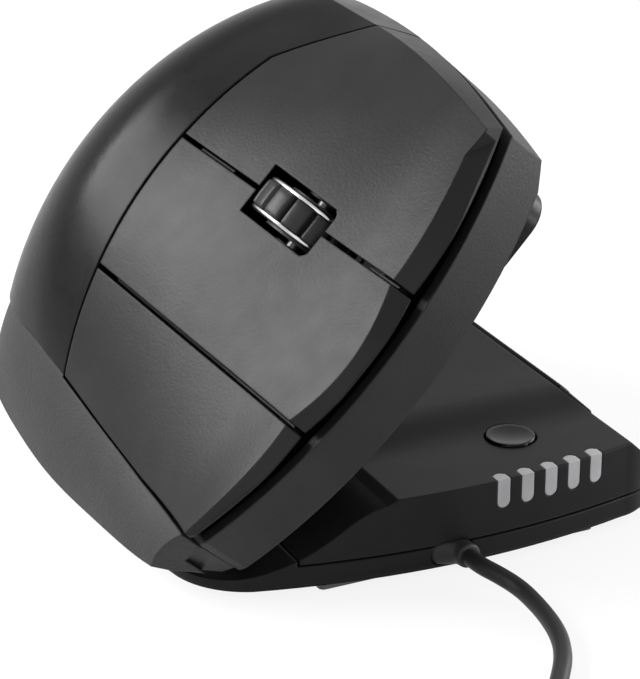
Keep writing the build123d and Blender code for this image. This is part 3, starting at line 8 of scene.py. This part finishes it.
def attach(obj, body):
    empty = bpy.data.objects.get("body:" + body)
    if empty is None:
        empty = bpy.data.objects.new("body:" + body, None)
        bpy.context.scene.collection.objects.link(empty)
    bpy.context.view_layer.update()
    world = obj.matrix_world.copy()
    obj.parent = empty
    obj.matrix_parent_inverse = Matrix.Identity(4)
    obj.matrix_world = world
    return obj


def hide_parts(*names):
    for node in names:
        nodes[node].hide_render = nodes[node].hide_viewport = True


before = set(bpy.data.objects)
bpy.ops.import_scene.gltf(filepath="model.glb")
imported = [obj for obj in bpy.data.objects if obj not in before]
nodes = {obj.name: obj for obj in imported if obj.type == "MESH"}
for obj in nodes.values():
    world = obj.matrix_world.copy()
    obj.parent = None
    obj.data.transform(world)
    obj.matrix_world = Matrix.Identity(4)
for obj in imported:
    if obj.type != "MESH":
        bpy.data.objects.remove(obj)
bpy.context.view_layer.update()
MM = 0.001

# Camera: the reference, on the desk at the front of the base, falls on its pixel of the photograph
photo_width, photo_height = 640, 679
sensor_mm = 36
distance, focal_px = 0.450, 2700.0
right = Vector((0.902585, -0.430511, 0.0))
up = Vector((0.168214, 0.352670, 0.920505))
back = Vector((-0.396288, -0.830833, 0.390731))
reference = Vector((-0.004, -0.050, 0.0))
reference_px_x, reference_px_y = 428, 572
place = (reference + back * distance
         - right * ((reference_px_x - photo_width / 2) / focal_px * distance)
         + up * ((reference_px_y - photo_height / 2) / focal_px * distance))
camera_data = bpy.data.cameras.new("camera")
camera_data.lens = focal_px * sensor_mm / photo_height
camera_data.sensor_width = sensor_mm
camera_data.clip_start = 0.01
camera = bpy.data.objects.new("camera", camera_data)
camera.matrix_world = Matrix((
    (right.x, up.x, back.x, place.x),
    (right.y, up.y, back.y, place.y),
    (right.z, up.z, back.z, place.z),
    (0, 0, 0, 1),
))
bpy.context.scene.collection.objects.link(camera)
bpy.context.scene.camera = camera

# Cord, in millimetres: the stretch on the desk, the tied coil and the way to the plug
lead_route = [
    (1.6, -54.0, 3.5), (1.6, -57.0, 3.5), (3.7, -60.6, 2.7), (5.4, -64.6, 1.8), (5.4, -69.8, 1.5),
    (4.7, -75.4, 1.5), (3.3, -81.0, 1.5), (0.6, -86.8, 1.5), (-3.3, -92.2, 1.5), (-9.2, -99.8, 1.5),
    (-16.2, -108.2, 1.5), (-22.8, -117.0, 1.5), (-28.2, -126.0, 1.7), (-31.4, -132.6, 2.1),
    (-31.4, -138.0, 2.1),
]
tail_route = [
    (-31.4, -144.0, 12.45), (-31.4, -149.0, 12.45), (-32.4, -157.0, 10.4), (-34.2, -165.0, 6.2),
    (-35.4, -172.0, 4.3), (-35.4, -178.0, 4.3),
]
coil_x, coil_y, coil_low = -8.0, -141.0, 2.1
loop_pitch, loop_mid_radius = 3.45, 16.5
loops_per_layer, layers = 4, 4
points_per_turn = 16
# Control points of a round turn lie a little outside it
spread = 1 / math.cos(math.pi / points_per_turn)
# Turns before and after a change of layer in which the cord climbs
climb_turns = 0.25


def coil_point(turns):
    """Point after so many turns, which wind inwards on one layer and outwards on the next."""
    leg, way = divmod(turns, loops_per_layer)
    inward = way if leg % 2 == 0 else loops_per_layer - way
    radius = (loop_mid_radius + loop_pitch * (loops_per_layer / 2 - inward)) * spread
    climb = max(1, min(layers - 1, round(turns / loops_per_layer)))
    from_climb = max(-climb_turns, min(climb_turns, turns - climb * loops_per_layer))
    layer = climb - 0.5 + from_climb / (2 * climb_turns)
    angle = 2 * math.pi * turns + math.pi
    return (coil_x + radius * math.cos(angle), coil_y + radius * math.sin(angle),
            coil_low + layer * loop_pitch)


coil_points = points_per_turn * loops_per_layer * layers
coil_route = [coil_point(step / points_per_turn) for step in range(1, coil_points)]
route = [tuple(value * MM for value in point) for point in lead_route + coil_route + tail_route]
cord_curve = bpy.data.curves.new("usb_cord", "CURVE")
cord_curve.dimensions = "3D"
# Each point carries the cord's radius in metres, because the curve's box is measured by it
cord_curve.bevel_depth = 1
cord_curve.bevel_resolution = 5
cord_curve.resolution_u = 8
cord_curve.use_fill_caps = True
spline = cord_curve.splines.new("NURBS")
spline.points.add(len(route) - 1)
for spline_point, point in zip(spline.points, route):
    spline_point.co = (*point, 1)
    spline_point.radius = 0.0015
spline.order_u = 3
spline.use_endpoint_u = True
cord = bpy.data.objects.new("usb_cord", cord_curve)
bpy.context.scene.collection.objects.link(cord)
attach(cord, "base")
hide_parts("cord_lead", "cord_coil", "cord_tail")

# Materials. Noise scales are per metre, and the grain's height is in metres
cloud_scale, cloud_detail = 90, 6
cloud_low, cloud_high = 0.3, 0.7
smear_scale, smear_detail = 260, 4
grain_detail, grain_height = 3, 0.0001
edge_samples = 6


def noise(tree, where, scale, detail):
    """Noise over the object's own coordinates."""
    texture = tree.nodes.new("ShaderNodeTexNoise")
    texture.inputs["Scale"].default_value = scale
    texture.inputs["Detail"].default_value = detail
    tree.links.new(where, texture.inputs["Vector"])
    return texture.outputs["Fac"]


def cells(tree, where, scale):
    """Rounded cells over the object's own coordinates."""
    texture = tree.nodes.new("ShaderNodeTexVoronoi")
    texture.feature = "SMOOTH_F1"
    texture.inputs["Scale"].default_value = scale
    tree.links.new(where, texture.inputs["Vector"])
    return texture.outputs["Distance"]


def material(name, colour, rough, grain=0.0, grain_size=0.4, patch=0.12, specular=0.5, metallic=0.0,
             edge=0.0, celled=False, rough_spread=0.06, painted_top_highlight=0.0):
    """Moulded, worn or cast surface: patchy colour, uneven gloss, a fine relief and softened edges.

    grain_size is in millimetres, and edge is a radius in metres. lid is a painted highlight: the grey
    that a face takes on the more it looks up, as light from above would give it.
    """
    finish = bpy.data.materials.new(name)
    finish.use_nodes = True
    tree = finish.node_tree
    links = tree.links
    shader = tree.nodes["Principled BSDF"]
    shader.inputs["Metallic"].default_value = metallic
    shader.inputs["Specular IOR Level"].default_value = specular
    coordinates = tree.nodes.new("ShaderNodeTexCoord")
    where = coordinates.outputs["Object"]

    ramp = tree.nodes.new("ShaderNodeValToRGB")
    darker, lighter = ramp.color_ramp.elements
    darker.position, lighter.position = cloud_low, cloud_high
    darker.color = (*(value * (1 - patch) for value in colour), 1)
    lighter.color = (*(min(1, value * (1 + patch)) for value in colour), 1)
    links.new(noise(tree, where, cloud_scale, cloud_detail), ramp.inputs["Fac"])
    links.new(ramp.outputs["Color"], shader.inputs["Base Color"])
    # Painted highlight: the more a face looks up, the more its colour goes to a lighter grey, as if lit
    # from above
    if painted_top_highlight:
        facing = tree.nodes.new("ShaderNodeSeparateXYZ")
        links.new(coordinates.outputs["Normal"], facing.inputs[0])
        top_highlight_mix = tree.nodes.new("ShaderNodeMix")
        top_highlight_mix.data_type = "RGBA"
        links.new(facing.outputs["Z"], top_highlight_mix.inputs["Factor"])
        links.new(ramp.outputs["Color"], top_highlight_mix.inputs["A"])
        top_highlight_mix.inputs["B"].default_value = (painted_top_highlight, painted_top_highlight, painted_top_highlight, 1)
        links.new(top_highlight_mix.outputs["Result"], shader.inputs["Base Color"])

    gloss = tree.nodes.new("ShaderNodeMapRange")
    gloss.inputs["To Min"].default_value = rough - rough_spread
    gloss.inputs["To Max"].default_value = rough + rough_spread
    links.new(noise(tree, where, smear_scale, smear_detail), gloss.inputs["Value"])
    links.new(gloss.outputs["Result"], shader.inputs["Roughness"])

    normal = None
    if edge:
        bevel = tree.nodes.new("ShaderNodeBevel")
        bevel.samples = edge_samples
        bevel.inputs["Radius"].default_value = edge
        normal = bevel.outputs["Normal"]
    if grain:
        scale = 1 / (grain_size * MM)
        relief = cells(tree, where, scale) if celled else noise(tree, where, scale, grain_detail)
        bump = tree.nodes.new("ShaderNodeBump")
        bump.inputs["Strength"].default_value = grain
        bump.inputs["Distance"].default_value = grain_height
        links.new(relief, bump.inputs["Height"])
        if normal:
            links.new(normal, bump.inputs["Normal"])
        normal = bump.outputs["Normal"]
    if normal:
        links.new(normal, shader.inputs["Normal"])
    return finish


def black(level):
    """Dark grey with a trace of blue."""
    return (level, level, level * 1.04)


# One finish for each slot of the record
finishes = {
    "shell_gloss": dict(colour=black(0.004), rough=0.28, grain=0.08, grain_size=0.9, specular=0.07,
                        edge=0.0005),
    "button_satin": dict(colour=black(0.010), rough=0.36, grain=0.3, grain_size=0.55, specular=0.09,
                         edge=0.0004),
    "frame_black": dict(colour=black(0.002), rough=0.35, grain=0.05, grain_size=0.8, specular=0.06,
                        edge=0.0003),
    "case_textured": dict(colour=black(0.014), rough=0.46, grain=0.55, grain_size=0.45, specular=0.13,
                          edge=0.0006),
    "grip_textured": dict(colour=black(0.018), rough=0.56, grain=0.8, grain_size=0.5, specular=0.14,
                          edge=0.0006, celled=True),
    "base_black": dict(colour=black(0.010), rough=0.34, grain=0.06, grain_size=0.5, specular=0.08,
                       edge=0.0006),
    "tyre_rubber": dict(colour=black(0.012), rough=0.40, grain=0.2, grain_size=0.3, specular=0.16),
    "rim_chrome": dict(colour=(0.52, 0.52, 0.53), rough=0.2, patch=0.03, metallic=1.0, rough_spread=0.03),
    "soft_rubber": dict(colour=black(0.018), rough=0.55, grain=0.35, grain_size=0.3, specular=0.25,
                        edge=0.0003),
    "steel": dict(colour=(0.55, 0.55, 0.56), rough=0.3, grain=0.1, grain_size=0.3, patch=0.06, metallic=1.0,
                  edge=0.0002),
    "board_green": dict(colour=(0.02, 0.14, 0.05), rough=0.4, grain=0.2, grain_size=0.8),
    "switch_black": dict(colour=black(0.03), rough=0.45, grain=0.2, grain_size=0.3),
    # The light pipes get a painted highlight on the faces that look up
    "light_pipe": dict(colour=(0.27, 0.27, 0.28), rough=0.34, grain=0.25, grain_size=0.35, patch=0.25,
                       specular=0.6, edge=0.0003, painted_top_highlight=0.48),
    "lens_clear": dict(colour=(0.8, 0.83, 0.86), rough=0.08, patch=0.04, specular=0.6),
    "skate_white": dict(colour=(0.05, 0.05, 0.05), rough=0.4, grain=0.12, grain_size=0.3, patch=0.05),
    "diode_white": dict(colour=(0.8, 0.8, 0.74), rough=0.3, grain=0.05, grain_size=0.3, patch=0.05),
    "nylon_black": dict(colour=black(0.018), rough=0.5, grain=0.3, specular=0.2),
    "cord_black": dict(colour=black(0.016), rough=0.46, grain=0.18, grain_size=0.35, specular=0.16),
}
made = {name: material(name, **settings) for name, settings in finishes.items()}
for piece in nodes.values():
    for held in piece.material_slots:
        held.material = made[held.material.name.split(".")[0]]
cord_curve.materials.append(made["cord_black"])

# Two nodes look unlike the rest of their slot
own_finishes = {
    "speed_button": material("polished_dish", black(0.004), 0.18, grain=0.05, grain_size=0.6,
                             specular=0.16, edge=0.0008),
    "wheel_axle": material("dark_steel", (0.12, 0.12, 0.125), 0.4, grain=0.1, grain_size=0.3,
                           metallic=1.0),
}
for name, finish in own_finishes.items():
    for held in nodes[name].material_slots:
        held.material = finish

# Detailed pieces, in millimetres
head_lean = math.radians(47)
head_corner = Vector((-34, 0, 9))
across = Vector((math.cos(head_lean), 0, math.sin(head_lean)))
outward = Vector((-math.sin(head_lean), 0, math.cos(head_lean)))
along = Vector((0, 1, 0))
same_point_m = 1e-7
sharp_angle = math.radians(42)


def mesh_piece(name, points, faces, finish, body, replaced):
    """Closed smooth mesh that rides on a body and stands for its CAD nodes."""
    mesh = bpy.data.meshes.new(name)
    mesh.from_pydata(points, [], faces)
    editor = bmesh.new()
    editor.from_mesh(mesh)
    bmesh.ops.remove_doubles(editor, verts=editor.verts, dist=same_point_m)
    bmesh.ops.recalc_face_normals(editor, faces=editor.faces)
    editor.to_mesh(mesh)
    editor.free()
    mesh.polygons.foreach_set("use_smooth", [True] * len(mesh.polygons))
    mesh.set_sharp_from_angle(angle=sharp_angle)
    mesh.materials.append(made[finish])
    piece = bpy.data.objects.new(name, mesh)
    bpy.context.scene.collection.objects.link(piece)
    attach(piece, body)
    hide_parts(*replaced)
    return piece


def ring_faces(rows, columns, joined_ends=True):
    """Faces between rows of points, each row a ring."""
    faces = []
    for row in range(rows if joined_ends else rows - 1):
        ahead = (row + 1) % rows
        for column in range(columns):
            beside = (column + 1) % columns
            faces.append((row * columns + column, row * columns + beside, ahead * columns + beside,
                          ahead * columns + column))
    return faces


def lofted(rings):
    """Points and faces of a solid through rings of equal length, closed at both ends."""
    columns = len(rings[0])
    points = [point for ring in rings for point in ring]
    last = (len(rings) - 1) * columns
    faces = ring_faces(len(rings), columns, joined_ends=False)
    faces.append(tuple(range(columns)))
    faces.append(tuple(last + column for column in reversed(range(columns))))
    return points, faces


def turn(step, steps):
    """Angle of a step of a whole turn."""
    return 2 * math.pi * step / steps


def shaped(value, power):
    """A power that keeps the sign: below 1 it squares a circle's corners."""
    return math.copysign(abs(value) ** power, value)


def oval_ring(x, y, z, half_width, half_height, power, steps):
    """Upright ring of points across the Y axis, in metres."""
    ring = []
    for step in range(steps):
        angle = turn(step, steps)
        ring.append(Vector((x + half_width * shaped(math.cos(angle), power), y,
                            z + half_height * shaped(math.sin(angle), power))) * MM)
    return ring


# Wheel: a tyre with swelling ribs between two bright rims. Profiles are (reach along axle, radius)
wheel_u, wheel_v, wheel_n = 46.9, -25.4, 16.8
axle = (head_corner + across * wheel_u + along * wheel_v + outward * wheel_n) * MM


def wheel_point(reach, radius, angle):
    """Point in metres, by its reach along the axle, its radius and its angle."""
    return axle + (across * reach + along * math.cos(angle) * radius
                   + outward * math.sin(angle) * radius) * MM


tyre_radius, tread_low = 10, 9
rib_count, rib_steps, rib_start = 14, 16, 0.32
rib_swell = 0.16
groove_depth, groove_reach = 0.85, 0.34
tyre_profile = [
    (-2.4, 6.0), (-2.4, 9.55), (-2.3, 9.8), (-2.05, 9.93), (-1.3, 10.0), (0.0, 10.02), (1.3, 10.0),
    (2.05, 9.93), (2.3, 9.8), (2.4, 9.55), (2.4, 6.0),
]
tyre_steps = rib_count * rib_steps
points = []
for step in range(tyre_steps):
    off_middle = (step / rib_steps + rib_start) % 1 - 0.5
    from_groove = (0.5 - abs(off_middle)) * 2 * math.pi * tyre_radius / rib_count
    swell = rib_swell * math.cos(math.pi * off_middle) - rib_swell
    groove = -groove_depth * math.exp(-(from_groove / groove_reach) ** 2)
    for reach, radius in tyre_profile:
        drawn = radius + (groove + swell) if radius > tread_low else radius
        points.append(wheel_point(reach, drawn, turn(step, tyre_steps)))
faces = ring_faces(tyre_steps, len(tyre_profile))
mesh_piece("tyre", points, faces, "tyre_rubber", "wheel", ["wheel_tyre"])

rim_steps = 96
rim_profile = [
    (2.4, 6.0), (2.4, 9.3), (2.48, 9.48), (2.62, 9.58), (2.8, 9.6), (2.98, 9.5), (3.12, 9.28), (3.22, 8.95),
    (3.28, 8.5), (3.2, 8.1), (3.0, 7.9), (3.0, 6.0),
]
points, faces = [], []
for side in (-1, 1):
    start = len(points)
    for step in range(rim_steps):
        for reach, radius in rim_profile:
            points.append(wheel_point(reach * side, radius, turn(step, rim_steps)))
    faces += [tuple(start + corner for corner in face) for face in ring_faces(rim_steps, len(rim_profile))]
mesh_piece("rims", points, faces, "rim_chrome", "wheel", ["wheel_rims"])

# Cord's way out: an oval boot that narrows to a collar. Rows are (y, half width, half height, x)
boot_z, boot_steps = 3.5, 48
boot_power, squared_over = 0.72, 3
boot_rows = [
    (-46.8, 3.9, 2.15, -0.2), (-50.6, 3.9, 2.15, -0.2), (-50.95, 3.8, 2.1, -0.15), (-51.4, 3.4, 2.05, 0.2),
    (-51.9, 2.8, 2.05, 0.85), (-52.4, 2.35, 2.1, 1.3), (-52.9, 2.2, 2.18, 1.5), (-53.5, 2.18, 2.18, 1.6),
    (-53.85, 2.1, 2.1, 1.6), (-54.0, 1.9, 1.9, 1.6), (-54.0, 1.3, 1.3, 1.6),
]
rings = []
for y, half_width, half_height, x in boot_rows:
    power = boot_power if half_width > squared_over else 1.0
    rings.append(oval_ring(x, y, boot_z, half_width, half_height, power, boot_steps))
mesh_piece("cord_boot", *lofted(rings), "soft_rubber", "base", ["strain_relief"])

# Plug's grip: swells from the cord, with ribs for the fingers and a rounded end
plug_x, plug_z = -35.4, 4.3
grip_start_y, grip_length = -178.0, 24.0
grip_rows, grip_steps = 96, 56
neck_half_width, neck_half_height = 2.4, 2.3
swell_width, swell_height, swell_share = 3.4, 2.0, 0.16
ribs_from, ribs_share, grip_ribs, rib_height = 0.3, 0.36, 5, 0.28
end_from, end_share, end_round = 0.97, 0.03, 0.5
grip_squareness = 0.45
rings = []
for row in range(grip_rows + 1):
    share = row / grip_rows
    y = grip_start_y - grip_length * share
    grow = min(1, share / swell_share)
    grow = grow * grow * (3 - 2 * grow)
    on_ribs = (share - ribs_from) / ribs_share
    rib = rib_height * math.sin(on_ribs * grip_ribs * 2 * math.pi) if 0 < on_ribs < 1 else 0
    end = end_round * max(0, (share - end_from) / end_share)
    half_width = neck_half_width + swell_width * grow - end - rib_height + rib
    half_height = neck_half_height + swell_height * grow - end - rib_height + rib
    power = 1 - grip_squareness * grow
    rings.append(oval_ring(plug_x, y, plug_z, half_width, half_height, power, grip_steps))
grip = mesh_piece("plug_grip", *lofted(rings), "soft_rubber", "base", ["usb_grip"])

# Soft strip on the thumb rest, crowned and ribbed, which lies up the sloping flank of the base
flank_x, flank_z = 44, 7.3
flank_run, flank_climb = 8.6, 8.2
flank_length = math.hypot(flank_run, flank_climb)
strip_start_y, strip_length = -21.4, 49.8
strip_rows, strip_steps, strip_ribs = 200, 28, 40
strip_reach, strip_half_reach, strip_narrowing = 7.49, 1.85, 0.1
strip_low, strip_side, strip_crown, strip_rib_height = 0.06, 0.1, 0.9, 0.08
strip_end_share = 0.03
reach_power, crown_power = 0.5, 0.6
rings = []
for row in range(strip_rows + 1):
    share = row / strip_rows
    fall = min(1, min(share, 1 - share) / strip_end_share)
    fall = math.sqrt(1 - (1 - fall) ** 2)
    rib = strip_rib_height * math.cos(share * strip_ribs * 2 * math.pi)
    narrowed = 1 - strip_narrowing + strip_narrowing * fall
    ring = []
    for step in range(strip_steps):
        angle = turn(step, strip_steps)
        upward = math.sin(angle)
        reach = strip_reach + strip_half_reach * shaped(math.cos(angle), reach_power) * narrowed
        rise = strip_low
        if upward > 0:
            rise = strip_side + (strip_crown * fall + rib * fall) * upward ** crown_power
        ring.append(Vector((
            flank_x - reach * flank_run / flank_length + rise * flank_climb / flank_length,
            strip_start_y + strip_length * share,
            flank_z + reach * flank_climb / flank_length + rise * flank_run / flank_length)) * MM)
    rings.append(ring)
mesh_piece("thumb_strip", *lofted(rings), "soft_rubber", "rest", ["thumb_pad"])

# Floor, backdrop and light, in metres
white = (1, 1, 1, 1)
floor_grey = (0.9, 0.9, 0.9, 1)
floor_half, floor_drop, floor_glow = 6.0, 0.0003, 0.86
sky_light, sky_seen = 0.42, 1.0


def seen_directly(tree):
    """1 for what the camera, a mirror or glass sees, otherwise 0."""
    path = tree.nodes.new("ShaderNodeLightPath")
    total = path.outputs["Is Camera Ray"]
    for ray in ("Is Glossy Ray", "Is Transmission Ray"):
        either = tree.nodes.new("ShaderNodeMath")
        either.operation = "MAXIMUM"
        tree.links.new(total, either.inputs[0])
        tree.links.new(path.outputs[ray], either.inputs[1])
        total = either.outputs[0]
    return total


def mixed(tree, share, first, second):
    """Shader that goes from the first to the second."""
    blend = tree.nodes.new("ShaderNodeMixShader")
    tree.links.new(share, blend.inputs[0])
    tree.links.new(first, blend.inputs[1])
    tree.links.new(second, blend.inputs[2])
    return blend.outputs[0]


def background(tree, strength):
    """Plain white surroundings."""
    sky = tree.nodes.new("ShaderNodeBackground")
    sky.inputs["Color"].default_value = white
    sky.inputs["Strength"].default_value = strength
    return sky.outputs[0]


floor_material = bpy.data.materials.new("studio_floor")
floor_material.use_nodes = True
tree = floor_material.node_tree
tree.nodes.remove(tree.nodes["Principled BSDF"])
matt = tree.nodes.new("ShaderNodeBsdfDiffuse")
matt.inputs["Color"].default_value = floor_grey
glow = tree.nodes.new("ShaderNodeEmission")
glow.inputs["Color"].default_value = white
part_glow = tree.nodes.new("ShaderNodeMath")
part_glow.operation = "MULTIPLY"
part_glow.inputs[1].default_value = floor_glow
tree.links.new(seen_directly(tree), part_glow.inputs[0])
surface = mixed(tree, part_glow.outputs[0], matt.outputs[0], glow.outputs[0])
tree.links.new(surface, tree.nodes["Material Output"].inputs["Surface"])
floor_mesh = bpy.data.meshes.new("studio_floor")
floor_mesh.from_pydata([
    (-floor_half, -floor_half, 0), (floor_half, -floor_half, 0),
    (floor_half, floor_half, 0), (-floor_half, floor_half, 0),
], [], [(0, 1, 2, 3)])
floor = bpy.data.objects.new("studio_floor", floor_mesh)
floor.location.z = -floor_drop
floor_mesh.materials.append(floor_material)
bpy.context.scene.collection.objects.link(floor)

world = bpy.data.worlds.new("studio")
bpy.context.scene.world = world
world.use_nodes = True
tree = world.node_tree
tree.nodes.clear()
output = tree.nodes.new("ShaderNodeOutputWorld")
surface = mixed(tree, seen_directly(tree), background(tree, sky_light), background(tree, sky_seen))
tree.links.new(surface, output.inputs["Surface"])

# Soft boxes: name, place, target, size and watts
lamps = [
    ("sheen", (-0.66, 0.30, 0.50), (-0.02, -0.03, 0.03), (0.6, 0.4), 17.0),
    ("key", (-0.55, -0.75, 0.35), (-0.02, -0.01, 0.05), (0.5, 0.5), 1.2),
    ("rim", (-0.9, 0.25, 0.1), (-0.04, 0.0, 0.05), (0.2, 0.5), 2.2),
    ("top", (-0.1, 0.35, 1.0), (0.0, 0.0, 0.05), (0.6, 0.6), 2.2),
    ("corner", (0.72, -0.62, 0.12), (0.03, -0.04, 0.06), (0.25, 0.25), 4.5),
    ("side", (0.9, 0.0, 0.25), (0.03, 0.0, 0.02), (0.5, 0.4), 7.0),
]
for name, lamp_place, target, size, watts in lamps:
    lamp_data = bpy.data.lights.new(name, "AREA")
    lamp_data.shape = "RECTANGLE"
    lamp_data.size, lamp_data.size_y = size
    lamp_data.energy = watts
    lamp = bpy.data.objects.new(name, lamp_data)
    lamp.location = lamp_place
    lamp.rotation_euler = (Vector(target) - Vector(lamp_place)).to_track_quat("-Z", "Y").to_euler()
    bpy.context.scene.collection.objects.link(lamp)

bpy.context.scene.view_settings.view_transform = "Standard"
bpy.context.view_layer.update()
